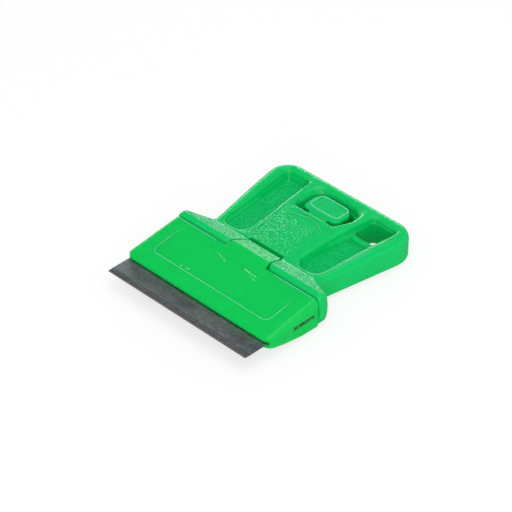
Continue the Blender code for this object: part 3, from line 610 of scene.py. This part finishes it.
class SCRAPER_OT_mouldings(bpy.types.Operator):
    """Finish the handle, the head and the latch, the three green mouldings"""

    bl_idname = "scraper.mouldings"
    bl_label = "Green mouldings"

    def execute(self, context):
        plastic = context.scene.scraper_plastic
        rows = (
            ("handle", "handle", "handle_plastic", "handle", 15),
            ("blade_head", "head", "head_plastic", "head", 10),
            ("press_latch", "latch", "latch_plastic", "latch", 26),
        )
        for node, body, slot, kind, angle in rows:
            material = moulded_plastic(f"moulded polypropylene, {kind}", plastic, kind)
            mesh = welded_copy(f"{node}_finish", nodes[node])
            if node == "handle":
                round_bar_ends(mesh)
            piece = add_piece(f"{node}_finish", mesh, material, body, node, angle)
            piece.modifiers.new("even normals", "WEIGHTED_NORMAL").keep_sharp = True
        return {"FINISHED"}


class SCRAPER_OT_raised_lines(bpy.types.Operator):
    """Make the crisp arrises and the raised lines of the mouldings, painted paler as a painted
    highlight
    """

    bl_idname = "scraper.raised_lines"
    bl_label = "Raised lines"

    def execute(self, context):
        plastic = context.scene.scraper_plastic
        material = moulded_plastic("moulded polypropylene, raised lines", plastic, "line")
        for name, places in ARRISES.items():
            path = arris_path(places, nodes["handle"].data)
            points = bead(path, ARRIS_SIZE, tapered(len(path), 0.2))
            line = surface_mesh(f"{name}_arris", points)
            add_piece(f"{name}_arris", line, material, "handle")
        border = surface_mesh("panel_border", panel_border())
        add_piece("panel_border", border, material, "head")
        for side, name in ((-1, "left"), (1, "right")):
            flash = surface_mesh(f"{name}_flash_line", flash_line(side))
            add_piece(f"{name}_flash_line", flash, material, "head")
        rim = surface_mesh("tab_border", tab_border(), loop=True)
        add_piece("tab_border", rim, material, "latch")
        return {"FINISHED"}


def round_bar_ends(mesh):
    """Make the ends of the cross bar bulge at mid-height.

    The end faces are cut by level planes. Each point past the start then moves inwards by
    the pull, times its share of the span out to the ends, times a power of its share of the
    height above or below the middle.
    """
    start, span, face = 18.5 * MM, 1.95 * MM, 19.2 * MM
    middle, pull, power = 3.65, 0.8, 2.2
    form = bmesh.new()
    form.from_mesh(mesh)
    for level in np.linspace(0.6, 6.6, 11) * MM:
        faces = [f for f in form.faces if abs(f.calc_center_median().x) > face]
        edges = {e for f in faces for e in f.edges}
        corners = {v for f in faces for v in f.verts}
        bmesh.ops.bisect_plane(
            form,
            geom=[*faces, *edges, *corners],
            plane_co=(0, 0, level),
            plane_no=(0, 0, 1),
            dist=0.001 * MM,
        )
    form.to_mesh(mesh)
    form.free()
    points = np.empty(len(mesh.vertices) * 3, dtype=np.float32)
    mesh.vertices.foreach_get("co", points)
    points = points.reshape(-1, 3)
    out = np.clip((np.abs(points[:, 0]) - start) / span, 0, 1)
    high = np.abs(points[:, 2] / MM - middle) / middle
    points[:, 0] -= np.sign(points[:, 0]) * pull * MM * out * high**power
    mesh.vertices.foreach_set("co", points.reshape(-1))
    mesh.update()


def arris_path(places, mesh, count=90):
    """Even, smooth path through the places, laid on top of the mesh.

    The places are spaced by their distance, filled in between by straight lines, and evened
    out by a moving average. Each height is the highest of three that lie side by side.
    """
    places = np.array(places)
    gone = np.concatenate(([0], np.cumsum(np.linalg.norm(np.diff(places, axis=0), axis=1))))
    at = np.linspace(0, gone[-1], count)
    flat = np.stack([np.interp(at, gone, places[:, i]) for i in (0, 1)], axis=1)
    span = 9
    wide = np.pad(flat, ((span // 2, span // 2), (0, 0)), mode="reflect", reflect_type="odd")
    mean = np.full(span, 1 / span)
    flat = np.stack([np.convolve(wide[:, i], mean, "valid") for i in (0, 1)], axis=1)
    form = bmesh.new()
    form.from_mesh(mesh)
    skin = BVHTree.FromBMesh(form)
    form.free()
    down = Vector((0, 0, -1))
    heights = [
        max(skin.ray_cast(Vector((x + shift, y, 20)) * MM, down)[0].z for shift in (-0.15, 0, 0.15))
        for x, y in flat
    ]
    return np.column_stack((flat * MM, heights))


def head_top(y):
    """Height of the head's top, which climbs evenly towards the rear."""
    return 5.10 * MM + 0.1453 * (y + 17.5 * MM)


def panel_border():
    """Raised line round the front and the sides of the bare panel.

    Two straight sides and the front are joined by quarter circles of 1.5 mm.
    """
    turn = np.linspace(0, math.pi / 2, 12)
    radius, reach, front = 1.5, 16.3, -16.3
    sides = np.linspace(-8.6, front + radius, 20, endpoint=False)
    across = np.linspace(-reach + radius, reach - radius, 60)[1:-1]
    left_x = -reach + radius - radius * np.cos(turn)
    corner_y = front + radius - radius * np.sin(turn)
    x = np.concatenate((np.full(20, -reach), left_x, across, -left_x[::-1], np.full(20, reach)))
    level = np.full(len(across), front)
    y = np.concatenate((sides, corner_y, level, corner_y[::-1], sides[::-1]))
    path = np.stack((x * MM, y * MM, head_top(y * MM)), axis=1)
    return bead(path, PANEL_LINE_SIZE, tapered(len(path)))


def flash_line(side):
    """Line of flash along one half of the head's upper rear edge, straight and level."""
    count = 40
    x = side * np.linspace(7.7, 19.2, count) * MM
    y = np.full(count, -6.05 * MM)
    z = np.full(count, 6.72 * MM)
    return bead(np.stack((x, y, z), axis=1), FLASH_SIZE, tapered(count))


def tab_border():
    """Raised line round the press tab: a superellipse of power 5, 7.9 by 4.3 mm.

    Each coordinate is its half size times the 2/5th power of the cosine or sine, with its
    sign.
    """
    count, power = 96, 2 / 5
    turn = np.linspace(0, 2 * math.pi, count, endpoint=False)
    c, s = np.cos(turn), np.sin(turn)
    x = 3.95 * np.sign(c) * np.abs(c) ** power
    y = 18.75 + 2.15 * np.sign(s) * np.abs(s) ** power
    z = np.full(count, 6.15)
    path = np.stack((x, y, z), axis=1) * MM
    return bead(path, TAB_LINE_SIZE, loop=True)


class SCRAPER_OT_blade(bpy.types.Operator):
    """Make the blade with its honed facets"""

    bl_idname = "scraper.blade"
    bl_label = "Blade"

    def execute(self, context):
        blade = context.scene.scraper_blade
        mesh = surface_mesh("honed_blade", blade_points(blade))
        add_piece("honed_blade", mesh, blade_steel(blade), "head", "blade", 3)
        return {"FINISHED"}


class SCRAPER_OT_spine(bpy.types.Operator):
    """Make the folded spine at the rear of the blade"""

    bl_idname = "scraper.spine"
    bl_label = "Spine"

    def execute(self, context):
        mesh = surface_mesh("folded_spine", spine_points())
        add_piece("folded_spine", mesh, spine_steel(), "head", "blade_spine")
        return {"FINISHED"}


def spine_points():
    """Folded spine: a strip 0.34 mm thick carried round the blade's rear in a C.

    The two leaves lie on the blade, and the fold between them is most of a circle, which
    leaves a hollow behind the blade. The section is the same across the width, which is
    39.7 mm, so that the ends show in the head's windows.
    """
    low, high = (np.array(corner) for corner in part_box("blade_spine"))
    middle = (high[2] + low[2]) / 2
    half, radius, leaf, reach = 0.17 * MM, 0.48 * MM, 0.33 * MM, 19.85 * MM
    centre = high[1] - radius - half
    start = math.pi - math.asin(leaf / radius)
    turn = np.linspace(start, -start, 32)
    front = np.linspace(low[1], centre - 0.45 * MM, 6)
    y = np.concatenate((front, centre + radius * np.cos(turn), front[::-1]))
    z = np.concatenate((np.full(6, leaf), radius * np.sin(turn), np.full(6, -leaf)))
    line = np.stack((y, z), axis=1)
    along = np.gradient(line, axis=0)
    along /= np.linalg.norm(along, axis=1)[:, None]
    normal = np.stack((-along[:, 1], along[:, 0]), axis=1)
    section = np.concatenate((line + normal * half, (line - normal * half)[::-1]))
    ends = np.array([-1, -0.998, 0, 0.998, 1]) * reach
    points = np.empty((len(ends), len(section), 3))
    points[..., 0] = ends[:, None]
    points[..., 1] = section[None, :, 0]
    points[..., 2] = section[None, :, 1] + middle
    return points


def blade_points(blade):
    """Blade swept across its width from one closed profile.

    The half thickness climbs in two straight facets, from the edge to the honed line and on
    to the ground line, and is level behind that, up to 0.6 mm inside the spine's rear. The
    sheared ends are barely rounded.
    """
    low, high = (np.array(corner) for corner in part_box("blade"))
    half = (high[2] - low[2]) / 2
    middle = (high[2] + low[2]) / 2
    rear = high[1] - low[1] - 0.6 * MM
    places = np.array([0, blade.hone, blade.hone * 1.02, blade.grind, rear])
    heights = np.array([0.07, 0.62, 0.64, 1.0, 1.0]) * half
    upper = np.stack((places, heights), axis=1)
    lower = np.stack((places[::-1], -heights[::-1]), axis=1)
    profile = np.concatenate((upper, lower))
    reach = (high[0] - low[0]) / 2
    ends = np.array([-1, -0.999, -0.5, 0, 0.5, 0.999, 1]) * reach
    shrink = np.array([0.7, 1, 1, 1, 1, 1, 0.7])
    points = np.empty((len(ends), len(profile), 3))
    points[..., 0] = ends[:, None] + (low[0] + high[0]) / 2
    points[..., 1] = profile[None, :, 0] + low[1]
    points[..., 2] = profile[None, :, 1] * shrink[:, None] + middle
    return points


class SCRAPER_OT_stage(bpy.types.Operator):
    """Set up the floor, the lamps and the camera"""

    bl_idname = "scraper.stage"
    bl_label = "Floor, lamps and camera"

    def execute(self, context):
        scene = context.scene
        scene.view_settings.view_transform = "Standard"
        add_floor(scene)
        add_camera(scene)
        add_world(scene)
        for row in LAMPS:
            add_lamp(scene, *row)
        return {"FINISHED"}


def add_floor(scene):
    """Pale floor that shows the camera a brighter white, with a soft shadow left in it."""
    side = 3.0
    mesh = bpy.data.meshes.new("floor")
    low = -0.05 * MM
    corners = [(-side, -side, low), (side, -side, low), (side, side, low), (-side, side, low)]
    mesh.from_pydata(corners, [], [(0, 1, 2, 3)])
    floor = bpy.data.objects.new("floor", mesh)
    scene.collection.objects.link(floor)
    material = bpy.data.materials.new("white paper")
    material.use_nodes = True
    tree = material.node_tree
    ray = add_node(tree, "ShaderNodeLightPath").outputs
    # Reflections see the paper grey, darker than it is: a painted dimmer reflection of the floor.
    paper = shaded(tree, linear("FFFFFF"), ray["Is Glossy Ray"], 1.0, "909090")
    shader = tree.nodes["Principled BSDF"]
    fill(tree, shader, {"Base Color": paper, "Roughness": 1.0, "Specular IOR Level": 0.0})
    glow = add_node(tree, "ShaderNodeEmission", {"Color": linear("FFFFFF"), "Strength": 1.0})
    share = all_of(tree, ray["Is Camera Ray"], PAPER_GLOW)
    mixed = add_node(tree, "ShaderNodeMixShader", {0: share, 1: shader, 2: glow})
    fill(tree, tree.nodes["Material Output"], {"Surface": mixed})
    mesh.materials.append(material)


def add_camera(scene):
    """Camera at the photograph's place and angle, with the lens that fits its pixels."""
    stage = scene.scraper_stage
    turn, tilt = stage.azimuth, stage.elevation
    forward = Vector(
        (-math.sin(turn) * math.cos(tilt), math.cos(turn) * math.cos(tilt), -math.sin(tilt))
    )
    right = Vector((math.cos(turn), math.sin(turn), 0))
    up = right.cross(forward)
    turned = Matrix((right, up, -forward)).transposed().to_4x4()
    turned.translation = CAMERA_PLACE
    camera = bpy.data.cameras.new("camera")
    camera.lens = FOCAL_PIXELS / PHOTO_PIXELS * camera.sensor_width
    camera.clip_start = 0.01
    viewer = bpy.data.objects.new("camera", camera)
    viewer.matrix_world = turned
    scene.collection.objects.link(viewer)
    scene.camera = viewer


def add_world(scene):
    """White room, dimmer as light. In reflections it is white near the floor and dark above."""
    world = bpy.data.worlds.new("studio")
    world.use_nodes = True
    tree = world.node_tree
    ray = add_node(tree, "ShaderNodeLightPath").outputs
    place = add_node(tree, "ShaderNodeTexCoord")
    toward = add_node(tree, "ShaderNodeSeparateXYZ", {0: place.outputs["Generated"]})
    band = area(tree, (toward.outputs["Z"], 0.50, 0.05))
    mirrored = add_node(
        tree, "ShaderNodeMath", {0: band, 1: 1 - ROOM_TOP, 2: ROOM_TOP}, operation="MULTIPLY_ADD"
    )
    seen_in = {0: ray["Is Glossy Ray"], 1: ray["Is Transmission Ray"]}
    glossy = add_node(tree, "ShaderNodeMath", seen_in, operation="ADD")
    dim = add_node(tree, "ShaderNodeMix", {0: glossy, 2: ROOM_LIGHT, 3: mirrored})
    full = add_node(tree, "ShaderNodeMix", {0: ray["Is Camera Ray"], 2: dim, 3: 1.0})
    fill(tree, tree.nodes["Background"], {"Color": linear("FFFFFF"), "Strength": full})
    scene.world = world


def add_lamp(scene, name, place, width, height, power, colour):
    """Soft rectangular lamp that faces the scraper."""
    lamp = bpy.data.lights.new(name, "AREA")
    lamp.shape = "RECTANGLE"
    lamp.size = width
    lamp.size_y = height
    lamp.energy = power
    lamp.color = colour
    holder = bpy.data.objects.new(name, lamp)
    holder.location = place
    holder.rotation_euler = (-Vector(place)).to_track_quat("-Z", "Y").to_euler()
    scene.collection.objects.link(holder)


class SCRAPER_PT_panel(bpy.types.Panel):
    """Lists the operators and settings"""

    bl_idname = "SCRAPER_PT_panel"
    bl_label = "Scraper"
    bl_space_type = "VIEW_3D"
    bl_region_type = "UI"
    bl_category = "Scraper"

    def draw(self, context):
        layout = self.layout
        scene = context.scene
        rows = (
            ("mouldings", scene.scraper_plastic, ("green", "grain", "relief")),
            ("raised_lines", None, ()),
            ("blade", scene.scraper_blade, ("hone", "grind")),
            ("spine", None, ()),
            ("stage", scene.scraper_stage, ("azimuth", "elevation")),
        )
        for operator, settings, names in rows:
            layout.operator(f"scraper.{operator}")
            for name in names:
                layout.prop(settings, name)


classes = (
    ScraperPlastic,
    ScraperBlade,
    ScraperStage,
    SCRAPER_OT_mouldings,
    SCRAPER_OT_raised_lines,
    SCRAPER_OT_blade,
    SCRAPER_OT_spine,
    SCRAPER_OT_stage,
    SCRAPER_PT_panel,
)


def register():
    """Register the classes and give the scene its settings."""
    for item in classes:
        bpy.utils.register_class(item)
    bpy.types.Scene.scraper_plastic = bpy.props.PointerProperty(type=ScraperPlastic)
    bpy.types.Scene.scraper_blade = bpy.props.PointerProperty(type=ScraperBlade)
    bpy.types.Scene.scraper_stage = bpy.props.PointerProperty(type=ScraperStage)


def unregister():
    """Take the settings and the classes away again."""
    del bpy.types.Scene.scraper_stage
    del bpy.types.Scene.scraper_blade
    del bpy.types.Scene.scraper_plastic
    for item in reversed(classes):
        bpy.utils.unregister_class(item)


def main():
    """Make the scraper and its stage."""
    register()
    bpy.ops.scraper.mouldings()
    bpy.ops.scraper.raised_lines()
    bpy.ops.scraper.blade()
    bpy.ops.scraper.spine()
    bpy.ops.scraper.stage()


if __name__ == "__main__":
    main()
